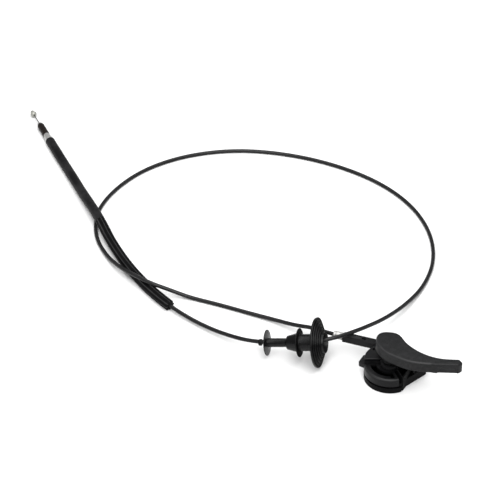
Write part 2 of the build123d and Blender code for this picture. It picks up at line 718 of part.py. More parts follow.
def main():
    path = conduit_path()
    report_route(path)
    conduit = make_conduit(path)
    print("conduit volume", round(conduit.volume), "section x length",
          round(pi * conduit_dia ** 2 / 4 * path.length))
    parts = {
        "base_shell": make_base(),
        "housing": make_housing(),
        "base_screws": make_base_screws(),
        "cable_cover": make_cover(),
        "lever": make_lever(),
        "cable_drum": make_drum(),
        "handle_nipple": make_handle_nipple(),
        "lever_screw": make_lever_screw(),
        "lever_washer": make_washer(),
        "handle_wire": make_handle_wire(),
        "handle_ferrule": make_handle_ferrule(path),
        "conduit": conduit,
        "grommet": make_grommet(),
        "stop_ring": make_stop_ring(path),
        "ribbed_sleeve": make_ribbed_sleeve(path),
        "smooth_sleeve": make_smooth_sleeve(path),
        "latch_band": make_band(),
        "latch_cap": make_cap(),
        "latch_wire": make_latch_wire(),
        "latch_nipple": make_latch_nipple(),
    }
    for name, shape in parts.items():
        export_step(shape, f"parts/{name}.step")


main()
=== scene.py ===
"""Hood release cable: the finished looks of a pull lever, its sheathed cable and its latch end.

The file is laid out as an add-on and is run as a script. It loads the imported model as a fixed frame,
in metres, and each operator dresses one piece or one group of like pieces.
The origin is the centre of the round housing on the floor; the cable's loop lies behind it, towards +Y.
"""

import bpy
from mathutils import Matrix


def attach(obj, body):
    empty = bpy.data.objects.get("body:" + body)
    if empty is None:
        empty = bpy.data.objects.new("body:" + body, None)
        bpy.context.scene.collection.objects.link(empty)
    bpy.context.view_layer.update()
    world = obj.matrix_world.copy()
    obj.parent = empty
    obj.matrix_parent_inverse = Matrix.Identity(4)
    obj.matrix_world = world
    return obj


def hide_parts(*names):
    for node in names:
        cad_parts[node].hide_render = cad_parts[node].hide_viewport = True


bl_info = {
    "name": "Hood Release Cable",
    "version": (1, 0, 0),
    "blender": (4, 5, 0),
    "location": "3D View > Sidebar > Cable",
    "description": "Makes a hood release cable with its handle, grommet, sleeves and latch fittings",
    "category": "Object",
}

from math import radians, tau

import bmesh
import bpy
import numpy as np
from bpy.props import FloatProperty, FloatVectorProperty, IntProperty, PointerProperty
from bpy.types import Operator, Panel, PropertyGroup
from mathutils import Euler

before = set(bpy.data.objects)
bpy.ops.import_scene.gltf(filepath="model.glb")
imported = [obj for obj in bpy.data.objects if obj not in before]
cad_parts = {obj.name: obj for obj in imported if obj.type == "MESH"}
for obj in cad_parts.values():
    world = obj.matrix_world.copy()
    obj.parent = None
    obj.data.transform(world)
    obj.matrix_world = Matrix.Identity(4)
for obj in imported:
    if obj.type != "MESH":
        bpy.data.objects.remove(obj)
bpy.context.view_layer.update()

MM = 0.001
HANDLE = "handle_base"
LEVER = "pull_lever"
LATCH = "latch_end"

# Line of the wire through the handle's arm: it touches the drum here and runs this way
WIRE_START = np.array([8.673, 22.593, 24.3]) * MM
WIRE_WAY = np.array([-0.93358, 0.35837, 0.0])

# Vertices nearer than this are one: in a surface made here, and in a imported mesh
SEAM = 1e-7
WELD = 2e-6
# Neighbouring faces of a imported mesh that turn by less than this, in degrees, are one flat face
FLAT = 0.4
# How far up the normal of a moulding's rounded upper edge points; these faces take a painted highlight
LEAN = (0.3, 0.93)

# Control points of the conduit, from the arm round the loop to the latch end, in millimetres
ROUTE = np.array([
    (-43.61, 42.66, 24.3), (-67.9, 52.0, 24.3), (-86.0, 72.0, 17.0), (-108.0, 86.5, 9.5),
    (-133.0, 104.5, 4.2), (-163.0, 119.5, 2.5), (-200.0, 136.5, 2.5), (-234.0, 150.0, 2.5),
    (-263.0, 157.5, 10.5), (-280.5, 160.5, 15.9), (-302.0, 177.5, 15.5), (-324.0, 206.0, 8.5),
    (-342.5, 240.0, 3.2), (-357.0, 281.0, 2.5), (-357.5, 334.0, 2.5), (-335.0, 386.0, 2.5),
    (-297.5, 431.5, 2.5), (-243.0, 463.0, 2.5), (-178.0, 475.5, 2.5), (-110.0, 465.0, 2.5),
    (-47.0, 438.5, 2.5), (7.0, 399.0, 2.5), (45.5, 348.5, 2.5), (66.5, 289.5, 2.5),
    (68.5, 228.0, 2.5), (52.5, 174.0, 3.0), (27.0, 128.5, 8.5), (-1.0, 89.0, 17.5),
    (-25.0, 60.0, 27.5), (-42.5, 43.5, 32.4), (-61.5, 31.1, 34.2), (-92.0, 29.4, 28.4),
    (-155.3, 44.8, 16.1), (-195.0, 74.0, 7.0), (-226.0, 98.5, 5.0), (-257.0, 127.0, 6.2),
    (-286.0, 165.0, 6.2), (-313.0, 209.5, 7.0), (-335.5, 258.0, 9.2), (-348.0, 292.0, 12.0),
    (-361.0, 325.5, 12.0), (-375.5, 361.0, 8.6), (-393.5, 407.0, 6.6), (-417.0, 463.0, 6.0),
    (-441.0, 523.0, 5.0),
]) * MM

# Where the handle's painted light and shade change: the height of the groove, under which the housing
# takes painted shade; the heights of the housing's and the lever's upper rims, above which rounded edges
# take a painted highlight; the place along X where the lever narrows, left of which its edges take that
# highlight;
# and the distance from the axis at which the arm starts, beyond which its upward faces take it too
GROOVE_TOP = 10.6 * MM
HOUSING_RIM = 14.0 * MM
LEVER_RIM = 30.0 * MM
LEVER_WAIST = 44.0 * MM
ARM_FROM = 30.0 * MM

# Grommet's own axis, from its tail to its bell
GROMMET_START = np.array([-141.46, 41.43, 18.79]) * MM
GROMMET_WAY = np.array([0.95479, -0.23229, 0.18553])


def unit(vectors):
    """Each vector over its own length."""
    return vectors / np.linalg.norm(vectors, axis=-1, keepdims=True)


# Lines that pieces follow: each takes distances and gives centres, forward, side and lift directions

def straight(start, way):
    """A straight line: the centre moves along the way, and the side is level."""
    way = unit(np.asarray(way, float))
    side = unit(np.cross(way, (0.0, 0.0, 1.0)))
    lift = np.cross(side, way)

    def place(distance):
        spread = np.ones((len(distance), 1))
        return start + distance[:, None] * way, spread * way, spread * side, spread * lift
    return place


def on_cable():
    """The conduit's own line, read from its spline; a distance is measured back from the latch end."""
    bare = bpy.data.objects["conduit_sheath"].copy()
    bare.data = bare.data.copy()
    bare.data.bevel_depth = 0.0
    mesh = bpy.data.meshes.new_from_object(bare)
    line = np.empty(len(mesh.vertices) * 3)
    mesh.vertices.foreach_get("co", line)
    line = line.reshape(-1, 3)
    curve = bare.data
    bpy.data.objects.remove(bare)
    bpy.data.curves.remove(curve)
    bpy.data.meshes.remove(mesh)
    walked = np.concatenate([[0.0], np.cumsum(np.linalg.norm(np.diff(line, axis=0), axis=1))])
    step = 1.5 * MM

    def centre(distance):
        ahead = np.maximum(distance - walked[-1], 0.0)[:, None] * unit(line[0] - line[1])
        along = [np.interp(walked[-1] - distance, walked, line[:, axis]) for axis in range(3)]
        return ahead + np.stack(along, -1)

    def place(distance):
        forward = unit(centre(distance - step) - centre(distance + step))
        side = unit(np.cross(forward, (0.0, 0.0, 1.0)))
        return centre(distance), forward, side, np.cross(side, forward)
    place.length = walked[-1]
    place.nearest = lambda point: walked[-1] - walked[np.argmin(np.linalg.norm(line - point, axis=1))]
    return place


# Surfaces

def rounded(profile, radius, closed, steps=5):
    """A profile with its corners rounded: each corner becomes a parabola between two points that lie
    one radius from it on its two sides, or less where a side is short: not quite half its length."""
    profile = np.asarray(profile, float) * MM
    before, after = np.roll(profile, 1, axis=0), np.roll(profile, -1, axis=0)
    back, on = before - profile, after - profile
    back_length = np.linalg.norm(back, axis=1, keepdims=True)
    on_length = np.linalg.norm(on, axis=1, keepdims=True)
    most = 0.45
    reach = np.minimum(radius * MM, most * np.minimum(back_length, on_length))
    if not closed:
        reach[[0, -1]] = 0.0
    first, last = profile + back / back_length * reach, profile + on / on_length * reach
    t = np.linspace(0.0, 1.0, steps)[None, :, None]
    curve = (1 - t) ** 2 * first[:, None] + 2 * t * (1 - t) * profile[:, None] + t ** 2 * last[:, None]
    curve = curve.reshape(-1, 2)
    return curve if closed else curve[steps - 1:len(curve) - steps + 1]


def skin(place, profile, sides=64, relief=None):
    """A profile of (distance, radius) carried round a line: each point stands off the line's centre at
    its own distance, by its radius plus a relief that depends on the angle and the distance."""
    distance, radius = profile[:, 0], profile[:, 1]
    angle = np.arange(sides) * tau / sides
    centre, _, side, lift = place(distance)
    reach = radius[:, None] + np.zeros(sides)
    if relief is not None:
        reach = reach + relief(distance[:, None], radius[:, None], angle[None, :])
    around = np.cos(angle)[None, :, None] * side[:, None] + np.sin(angle)[None, :, None] * lift[:, None]
    return centre[:, None] + reach[..., None] * around


def quads(rows, columns, wrap_rows, start=0):
    """Four-sided faces between neighbouring rows and columns of a grid whose columns close up."""
    row = np.arange(rows if wrap_rows else rows - 1)
    row, column = np.meshgrid(row, np.arange(columns), indexing="ij")
    next_row, next_column = (row + 1) % rows, (column + 1) % columns
    corners = [row * columns + column, next_row * columns + column,
               next_row * columns + next_column, row * columns + next_column]
    return np.stack(corners, -1).reshape(-1, 4) + start


def strands(place, start, end, diameter, count, pitch, sides=10, rows_a_turn=24):
    """A wire rope: a straight core and round strands that turn about it. A strand's centre stands off
    the line by two thirds of the rope's radius, at an angle that grows with the distance. The radius
    of a strand and of the core is one third of the rope's."""
    rows = max(rows_a_turn, int(abs(end - start) / pitch * rows_a_turn))
    distance = np.linspace(start, end, rows)
    centre, forward, side, lift = place(distance)
    thick = diameter / 6
    turn = tau * distance[:, None] / pitch + tau * np.arange(count) / count
    out = np.cos(turn)[..., None] * side[:, None] + np.sin(turn)[..., None] * lift[:, None]
    middle = np.concatenate([centre[:, None], centre[:, None] + 2 * thick * out], axis=1)
    out = np.concatenate([side[:, None], out], axis=1)
    across = np.cross(forward[:, None], out)
    angle = np.arange(sides) * tau / sides
    ring = np.cos(angle)[:, None] * out[:, :, None] + np.sin(angle)[:, None] * across[:, :, None]
    size = np.full((rows, 1, 1, 1), thick)
    size[[0, -1]] = 0.0
    grid = (middle[:, :, None] + size * ring).transpose(1, 0, 2, 3)
    faces = [quads(rows, sides, False, index * rows * sides) for index in range(count + 1)]
    return grid.reshape(-1, 3), np.concatenate(faces)


# Pieces

def finish_piece(obj, material, body, slot, nodes, sharp=35.0):
    """Shades a piece, gives it its material, ties it to its body and hides the nodes it stands for."""
    obj.data.shade_smooth()
    obj.data.set_sharp_from_angle(angle=radians(sharp))
    obj.data.materials.clear()
    obj.data.materials.append(material)
    bpy.context.scene.collection.objects.link(obj)
    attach(obj, body)
    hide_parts(*nodes)
    return obj


def add_surface(name, points, faces, **facts):
    """A mesh piece from arrays of points and faces, with its poles and seams closed."""
    mesh = bpy.data.meshes.new(name)
    mesh.vertices.add(len(points))
    mesh.vertices.foreach_set("co", points.astype(np.float32).ravel())
    mesh.loops.add(faces.size)
    mesh.loops.foreach_set("vertex_index", faces.astype(np.int32).ravel())
    mesh.polygons.add(len(faces))
    mesh.polygons.foreach_set("loop_start", np.arange(0, faces.size, 4, dtype=np.int32))
    mesh.update(calc_edges=True)
    clean = bmesh.new()
    clean.from_mesh(mesh)
    bmesh.ops.remove_doubles(clean, verts=clean.verts, dist=SEAM)
    bmesh.ops.recalc_face_normals(clean, faces=clean.faces)
    clean.to_mesh(mesh)
    clean.free()
    return finish_piece(bpy.data.objects.new(name, mesh), **facts)


def add_turned(name, place, profile, closed, sides=64, relief=None, **facts):
    """A piece made of one profile carried round a line."""
    grid = skin(place, profile, sides, relief)
    return add_surface(name, grid.reshape(-1, 3), quads(len(profile), sides, closed), **facts)


def add_finish(obj, material, where):
    """Gives the chosen faces of a piece another finish."""
    obj.data.materials.append(material)
    index = np.empty(len(obj.data.polygons), np.int32)
    obj.data.polygons.foreach_get("material_index", index)
    index[where] = len(obj.data.materials) - 1
    obj.data.polygons.foreach_set("material_index", index)


def face_values(obj, what):
    """The centres or the normals of a piece's faces."""
    values = np.empty(len(obj.data.polygons) * 3)
    obj.data.polygons.foreach_get(what, values)
    return values.reshape(-1, 3)


def paint_edge_highlight(obj, material, above, left_of=1.0):
    """Paints a highlight on the rounded upper edges of a moulding by giving a paler finish to faces
    that lean out, lie above a height and, where it's given, lie left of a place."""
    lean = face_values(obj, "normal")[:, 2]
    centre = face_values(obj, "center")
    edge = (lean > LEAN[0]) & (lean < LEAN[1])
    add_finish(obj, material, edge & (centre[:, 2] > above) & (centre[:, 0] < left_of))


def add_moulding(name, node, material, body, slot, edge=0.3, sharp=32.0, below=None):
    """A moulded piece: the node's own shape with its triangles joined and its edges rounded. Faces
    whose centres lie under a height may take a second finish, given as that height and the finish;
    the housing takes a darker one there as painted shade."""
    obj = bpy.data.objects.new(name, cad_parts[node].data.copy())
    clean = bmesh.new()
    clean.from_mesh(obj.data)
    bmesh.ops.remove_doubles(clean, verts=clean.verts, dist=WELD)
    bmesh.ops.dissolve_limit(clean, angle_limit=radians(FLAT), verts=clean.verts, edges=clean.edges)
    clean.to_mesh(obj.data)
    clean.free()
    finish_piece(obj, material, body, slot, [node], sharp)
    if below is not None:
        height, finish = below
        add_finish(obj, finish, face_values(obj, "center")[:, 2] < height)
    if edge:
        bevel = obj.modifiers.new("rounded edges", "BEVEL")
        bevel.width = edge * MM
        bevel.segments = 2
        bevel.limit_method = "ANGLE"
        bevel.angle_limit = radians(sharp)
        bevel.harden_normals = True
    return obj


# Materials

def group(name, inputs, outputs, build):
    """A shader node group with named inputs and outputs, built once and shared."""
    if name in bpy.data.node_groups:
        return bpy.data.node_groups[name]
    tree = bpy.data.node_groups.new(name, "ShaderNodeTree")
    for label, kind, value in inputs:
        socket = tree.interface.new_socket(name=label, in_out="INPUT", socket_type=kind)
        if value is not None:
            socket.default_value = value
    for label, kind in outputs:
        tree.interface.new_socket(name=label, in_out="OUTPUT", socket_type=kind)
    build(tree, tree.nodes.new("NodeGroupInput").outputs, tree.nodes.new("NodeGroupOutput").inputs)
    return tree


def math_node(tree, operation, first, second):
    """One math node; each side is a socket or a number."""
    node = tree.nodes.new("ShaderNodeMath")
    node.operation = operation
    for socket, value in zip(node.inputs, (first, second)):
        if isinstance(value, (int, float)):
            socket.default_value = value
        else:
            tree.links.new(value, socket)
    return node.outputs[0]


def noise_node(tree, vector, scale, detail, rough):
    """A noise texture that takes its place and its scale from sockets."""
    node = tree.nodes.new("ShaderNodeTexNoise")
    node.inputs["Detail"].default_value = detail
    node.inputs["Roughness"].default_value = rough
    tree.links.new(vector, node.inputs["Vector"])
    tree.links.new(scale, node.inputs["Scale"])
    return node.outputs["Fac"]


def ramp_node(tree, value, low, high):
    """Spreads a value from low to high over nought to one, with soft ends."""
    node = tree.nodes.new("ShaderNodeMapRange")
    node.interpolation_type = "SMOOTHSTEP"
    node.inputs["From Min"].default_value = low
    node.inputs["From Max"].default_value = high
    tree.links.new(value, node.inputs["Value"])
    return node.outputs["Result"]


def mould_grain():
    """Fine spark-eroded grain: small cells with a finer noise over them."""
    def build(tree, given, result):
        cells = tree.nodes.new("ShaderNodeTexVoronoi")
        cells.feature = "SMOOTH_F1"
        tree.links.new(given["Vector"], cells.inputs["Vector"])
        tree.links.new(given["Scale"], cells.inputs["Scale"])
        finer = math_node(tree, "MULTIPLY", given["Scale"], 2.3)
        fine = noise_node(tree, given["Vector"], finer, detail=3.0, rough=0.6)
        tree.links.new(math_node(tree, "ADD", cells.outputs["Distance"], fine), result["Height"])
    return group("mould grain",
                 [("Vector", "NodeSocketVector", None), ("Scale", "NodeSocketFloat", 2500.0)],
                 [("Height", "NodeSocketFloat")], build)


def handling_marks():
    """Uneven sheen from handling and a little dust: broad soft patches with small specks in them."""
    def build(tree, given, result):
        broad = noise_node(tree, given["Vector"], given["Scale"], detail=4.0, rough=0.6)
        patches = ramp_node(tree, broad, low=0.42, high=0.68)
        finer = math_node(tree, "MULTIPLY", given["Scale"], 22.0)
        fine = noise_node(tree, given["Vector"], finer, detail=2.0, rough=0.7)
        specks = ramp_node(tree, fine, low=0.62, high=0.74)
        mask = math_node(tree, "MULTIPLY", math_node(tree, "ADD", patches, specks), given["Amount"])
        tree.links.new(mask, result["Mask"])
    return group("handling marks",
                 [("Vector", "NodeSocketVector", None), ("Scale", "NodeSocketFloat", 40.0),
                  ("Amount", "NodeSocketFloat", 0.5)],
                 [("Mask", "NodeSocketFloat")], build)


def rolled_relief():
    """What rolling or drawing leaves on metal: a faint noise with no cells in it."""
    def build(tree, given, result):
        uneven = noise_node(tree, given["Vector"], given["Scale"], detail=3.0, rough=0.65)
        tree.links.new(uneven, result["Height"])
    return group("rolled relief",
                 [("Vector", "NodeSocketVector", None), ("Scale", "NodeSocketFloat", 900.0)],
                 [("Height", "NodeSocketFloat")], build)


def coated(name, body, worn, roughness, grain, marks, metallic=0.0, rolled=False, specular=0.16):
    """A finish made of a body colour, handling marks that change its colour and gloss, and a bump from
    mould grain or, on rolled metal, from its faint relief. Roughness is a pair, clean and worn; grain
    is its scale and its depth in millimetres; marks are their scale and their strength."""
    material = bpy.data.materials.new(name)
    material.use_nodes = True
    tree = material.node_tree
    shader = tree.nodes["Principled BSDF"]
    where = tree.nodes.new("ShaderNodeTexCoord").outputs["Object"]
    handled = tree.nodes.new("ShaderNodeGroup")
    handled.node_tree = handling_marks()
    handled.inputs["Scale"].default_value, handled.inputs["Amount"].default_value = marks
    relief = tree.nodes.new("ShaderNodeGroup")
    relief.node_tree = rolled_relief() if rolled else mould_grain()
    relief.inputs["Scale"].default_value = grain[0]
    for node in (handled, relief):
        tree.links.new(where, node.inputs["Vector"])
    tint = tree.nodes.new("ShaderNodeMix")
    tint.data_type = "RGBA"
    tint.inputs["A"].default_value = (*body, 1.0)
    tint.inputs["B"].default_value = (*worn, 1.0)
    tree.links.new(handled.outputs["Mask"], tint.inputs["Factor"])
    tree.links.new(tint.outputs["Result"], shader.inputs["Base Color"])
    gloss = tree.nodes.new("ShaderNodeMapRange")
    gloss.inputs["To Min"].default_value, gloss.inputs["To Max"].default_value = roughness
    tree.links.new(handled.outputs["Mask"], gloss.inputs["Value"])
    tree.links.new(gloss.outputs["Result"], shader.inputs["Roughness"])
    bump = tree.nodes.new("ShaderNodeBump")
    bump.inputs["Distance"].default_value = grain[1] * MM
    bump.inputs["Strength"].default_value = 1.0
    tree.links.new(relief.outputs["Height"], bump.inputs["Height"])
    tree.links.new(bump.outputs["Normal"], shader.inputs["Normal"])
    shader.inputs["Metallic"].default_value = metallic
    shader.inputs["Specular IOR Level"].default_value = specular
    return material


# Settings

def length(name, text, default):
    """A length in metres that a user can change."""
    return FloatProperty(name=name, description=text, default=default, min=0.0, precision=5,
                         unit="LENGTH")


def colour(name, text, default):
    """A colour that a user can change."""
    return FloatVectorProperty(name=name, description=text, default=default, size=3, min=0.0, max=1.0,
                               subtype="COLOR")


class CableSettings(PropertyGroup):
    sheath_diameter: length("Sheath diameter", "Outside diameter of the conduit", 5.0 * MM)
    wire_diameter: length("Wire diameter", "Diameter of the stranded wire", 1.5 * MM)
    wire_pitch: length("Wire pitch", "Length in which a strand turns once", 7.5 * MM)
    wire_strands: IntProperty(name="Strands", description="Strands around the core", default=6, min=3)
    sheath: colour("Sheath", "Colour of the conduit", (0.011, 0.011, 0.0115))


class SleeveSettings(PropertyGroup):
    ribbed_diameter: length("Ribbed diameter", "Diameter over the ribs", 13.6 * MM)
    rib_depth: length("Rib depth", "Height of a rib", 1.1 * MM)
    ribs: IntProperty(name="Ribs", description="Number of ribs", default=8, min=3)
    smooth_diameter: length("Smooth diameter", "Diameter of the smooth sleeve", 12.4 * MM)
    ribbed: colour("Ribbed", "Colour of the ribbed sleeve", (0.0028, 0.0028, 0.003))
    # Painted highlight: the ribs' tops are paler to stand in for the light they catch
    rib_top_highlight: colour("Rib tops", "Colour of the ribs' tops", (0.02, 0.02, 0.021))
    smooth: colour("Smooth", "Colour of the smooth sleeve", (0.007, 0.007, 0.0075))


class GrommetSettings(PropertyGroup):
    bell_diameter: length("Bell diameter", "Diameter of the bell's rim", 59.2 * MM)
    rubber: colour("Rubber", "Colour of the grommet", (0.003, 0.003, 0.0033))


class HandleSettings(PropertyGroup):
    edge: length("Edge radius", "Rounding of the moulded edges", 0.3 * MM)
    shell: colour("Shell", "Colour of the housing", (0.0035, 0.0035, 0.004))
    lever: colour("Lever", "Colour of the lever", (0.006, 0.0062, 0.0066))


class FittingSettings(PropertyGroup):
    metal: colour("Metal", "Colour of the ferrule and the band", (0.47, 0.47, 0.46))
    casting: colour("Casting", "Colour of the cast nipples", (0.38, 0.384, 0.35))
    cap: colour("Cap", "Colour of the end cap", (0.012, 0.009, 0.008))


class StageSettings(PropertyGroup):
    floor: colour("Floor", "Colour of the floor", (0.74, 0.74, 0.74))
    focal_length: FloatProperty(name="Focal length", description="Of the camera, in millimetres",
                                default=160.0, min=10.0)


# Operators

class CABLE_OT_stage(Operator):
    """Lays the floor and sets up the lights and the camera"""
    bl_idname = "cable.stage"
    bl_label = "Stage"

    def execute(self, context):
        settings = context.scene.cable_stage
        half = 6.0
        corners = np.array([(-1, -1, 0), (1, -1, 0), (1, 1, 0), (-1, 1, 0)]) * half
        mesh = bpy.data.meshes.new("floor")
        mesh.from_pydata(corners, [], [(0, 1, 2, 3)])
        floor = bpy.data.objects.new("floor", mesh)
        paint = bpy.data.materials.new("pale floor")
        paint.use_nodes = True
        shader = paint.node_tree.nodes["Principled BSDF"]
        shader.inputs["Base Color"].default_value = (*settings.floor, 1.0)
        shader.inputs["Roughness"].default_value = 0.9
        shader.inputs["Specular IOR Level"].default_value = 0.1
        mesh.materials.append(paint)
        context.scene.collection.objects.link(floor)
        self.light(context, "overhead softbox", (-0.1, 0.5, 1.9), turn=(0, 0, 0), size=2.2, power=46.0)
        self.light(context, "key softbox", (-0.5, -1.1, 1.9), turn=(30, 0, -16), size=0.5, power=6.0)
        self.light(context, "front softbox", (-0.15, -1.35, 1.85), turn=(36, 0, -4), size=1.9,
                   power=58.0)
        world = bpy.data.worlds.new("studio")
        world.use_nodes = True
        world.node_tree.nodes["Background"].inputs["Color"].default_value = (1.0, 1.0, 1.0, 1.0)
        world.node_tree.nodes["Background"].inputs["Strength"].default_value = 0.3
        context.scene.world = world
        context.scene.view_settings.view_transform = "Standard"
        lens = bpy.data.cameras.new("camera")
        lens.lens = settings.focal_length
        lens.sensor_width = 36.0
        lens.clip_end = 20.0
        camera = bpy.data.objects.new("camera", lens)
        camera.location = (-0.1612, -1.9983, 1.6347)
        camera.rotation_euler = (radians(54.0), 0.0, 0.0)
        context.scene.collection.objects.link(camera)
        context.scene.camera = camera
        return {"FINISHED"}

    def light(self, context, name, place, turn, size, power):
        """A square area light that faces down and is then turned, in degrees."""
        lamp = bpy.data.lights.new(name, "AREA")
        lamp.size = size
        lamp.energy = power
        obj = bpy.data.objects.new(name, lamp)
        obj.location = place
        obj.rotation_euler = Euler([radians(angle) for angle in turn])
        context.scene.collection.objects.link(obj)


class CABLE_OT_conduit(Operator):
    """Makes the sheathed conduit as one smooth curve through the route"""
    bl_idname = "cable.conduit"
    bl_label = "Conduit"

    def execute(self, context):
        settings = context.scene.cable_cable
        curve = bpy.data.curves.new("conduit_sheath", "CURVE")
        curve.dimensions = "3D"
        spline = curve.splines.new("NURBS")
        spline.points.add(len(ROUTE) - 1)
        spline.points.foreach_set("co", np.column_stack([ROUTE, np.ones(len(ROUTE))]).ravel())
        spline.order_u = 3
        spline.use_endpoint_u = True
        curve.resolution_u = 14
        curve.bevel_depth = settings.sheath_diameter / 2
        curve.bevel_resolution = 7
        curve.use_fill_caps = True
        sheath = coated("conduit sheath", settings.sheath, (0.02, 0.02, 0.0205), roughness=(0.2, 0.28),
                        grain=(700.0, 0.03), marks=(30.0, 0.5), specular=0.15)
        curve.materials.append(sheath)
        obj = bpy.data.objects.new("conduit_sheath", curve)
        context.scene.collection.objects.link(obj)
        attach(obj, HANDLE)
        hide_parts("conduit")
        return {"FINISHED"}


class CABLE_OT_wires(Operator):
    """Makes the stranded wire in the arm and the one that comes out of the latch cap"""
    bl_idname = "cable.wires"
    bl_label = "Stranded Wires"

    def execute(self, context):
        settings = context.scene.cable_cable
        steel = coated("wire strands", (0.21, 0.21, 0.205), (0.15, 0.145, 0.135), roughness=(0.28, 0.42),
                       grain=(4000.0, 0.01), marks=(120.0, 0.5), metallic=1.0, rolled=True)
        greased = coated("greased wire strands", (0.06, 0.055, 0.05), (0.02, 0.018, 0.015),
                         roughness=(0.3, 0.4), grain=(4000.0, 0.01), marks=(120.0, 0.5), metallic=0.8,
                         rolled=True)
        rope = (settings.wire_diameter, settings.wire_strands, settings.wire_pitch)
        for name, line, start, end, body, node, finish in (
                ("handle_wire_rope", straight(WIRE_START, WIRE_WAY), 2.75, 67.0, HANDLE, "handle_wire",
                 greased),
                ("latch_wire_rope", straight(ROUTE[-1], latch_way()), -15.0, 38.5, LATCH, "latch_wire",
                 steel)):
            points, faces = strands(line, start * MM, end * MM, *rope)
            add_surface(name, points, faces, material=finish, body=body, slot="steel_wire", nodes=[node],
                        sharp=60.0)
        return {"FINISHED"}


class CABLE_OT_sleeves(Operator):
    """Makes the ribbed and the smooth sleeve on the conduit"""
    bl_idname = "cable.sleeves"
    bl_label = "Sleeves"
    # The outside of a wall is all that lies within this of its full radius
    rim = 0.6 * MM

    def execute(self, context):
        settings = context.scene.cable_sleeves
        line = on_cable()
        self.ribbed(settings, line)
        self.smooth(settings, line)
        return {"FINISHED"}

    def ribbed(self, settings, line):
        """Ribs run along the sleeve: the outside falls by the rib depth between them, and near a rib it
        rises as a narrow bell curve of the angle. The ribs' tops get a paler colour, a painted highlight."""
        rubber = coated("ribbed rubber", settings.ribbed, (0.006, 0.006, 0.0062), roughness=(0.5, 0.68),
                        grain=(1500.0, 0.05), marks=(60.0, 0.6), specular=0.04)
        # Painted highlight for the ribs' tops
        painted_highlight = coated("painted highlight rib tops", settings.rib_top_highlight, (0.036, 0.036, 0.037),
                        roughness=(0.4, 0.55), grain=(1500.0, 0.05), marks=(60.0, 0.6), specular=0.1)
        outer, depth, count = settings.ribbed_diameter / 2, settings.rib_depth, settings.ribs
        sides, rib_width, top_width = 144, 0.35, 0.8

        def relief(distance, radius, angle):
            wave = 1.0 - np.exp((np.cos(count * angle) - 1.0) / rib_width)
            return np.where(radius > outer - self.rim, -depth * wave, 0.0)

        wall = self.wall(settings.ribbed_diameter, bore=6.2, start=437.0, end=243.5)
        sleeve = add_turned("ribbed_sleeve_rubber", line, wall, True, sides, relief, material=rubber,
                            body=HANDLE, slot="ribbed_rubber", nodes=["ribbed_sleeve"], sharp=50.0)
        angle = (np.arange(len(sleeve.data.polygons)) % sides + 0.5) / sides * tau
        # The ribs' tops take the painted highlight
        add_finish(sleeve, painted_highlight, np.cos(count * angle) > top_width)

    def smooth(self, settings, line):
        """The smooth sleeve is slightly uneven: its radius swells and falls along it in two soft waves,
        of which the shorter one also leans with the angle."""
        soft = coated("soft sleeve", settings.smooth, (0.026, 0.026, 0.027), roughness=(0.42, 0.58),
                      grain=(900.0, 0.04), marks=(45.0, 0.5), specular=0.05)
        outer = settings.smooth_diameter / 2
        height, long_wave, short_wave = 0.07 * MM, 0.11 / MM, 0.29 / MM

        def relief(distance, radius, angle):
            leaning = 0.6 * np.sin(distance * short_wave + 2.0 * np.cos(angle))
            swell = np.sin(distance * long_wave) + leaning
            return np.where(radius > outer - self.rim, height * swell, 0.0)

        wall = self.wall(settings.smooth_diameter, bore=6.6, start=243.0, end=33.0)
        add_turned("smooth_sleeve_tube", line, wall, True, 64, relief, material=soft, body=HANDLE,
                   slot="foam_sleeve", nodes=["smooth_sleeve"])

    @staticmethod
    def wall(diameter, bore, start, end):
        """The closed outline of a tube's wall, with many points along its two long sides and a small
        chamfer at the ends of the outer one."""
        outer, inner, points, edge = diameter / 2, bore / 2 * MM, 120, 0.5 * MM
        along = np.linspace(start * MM, end * MM, points)
        out = np.column_stack([along, np.full_like(along, outer)])
        back = np.column_stack([along[::-1], np.full_like(along, inner)])
        out[[0, -1], 1] -= edge
        out[1, 0], out[-2, 0] = along[0] - edge, along[-1] + edge
        return np.concatenate([out, back])


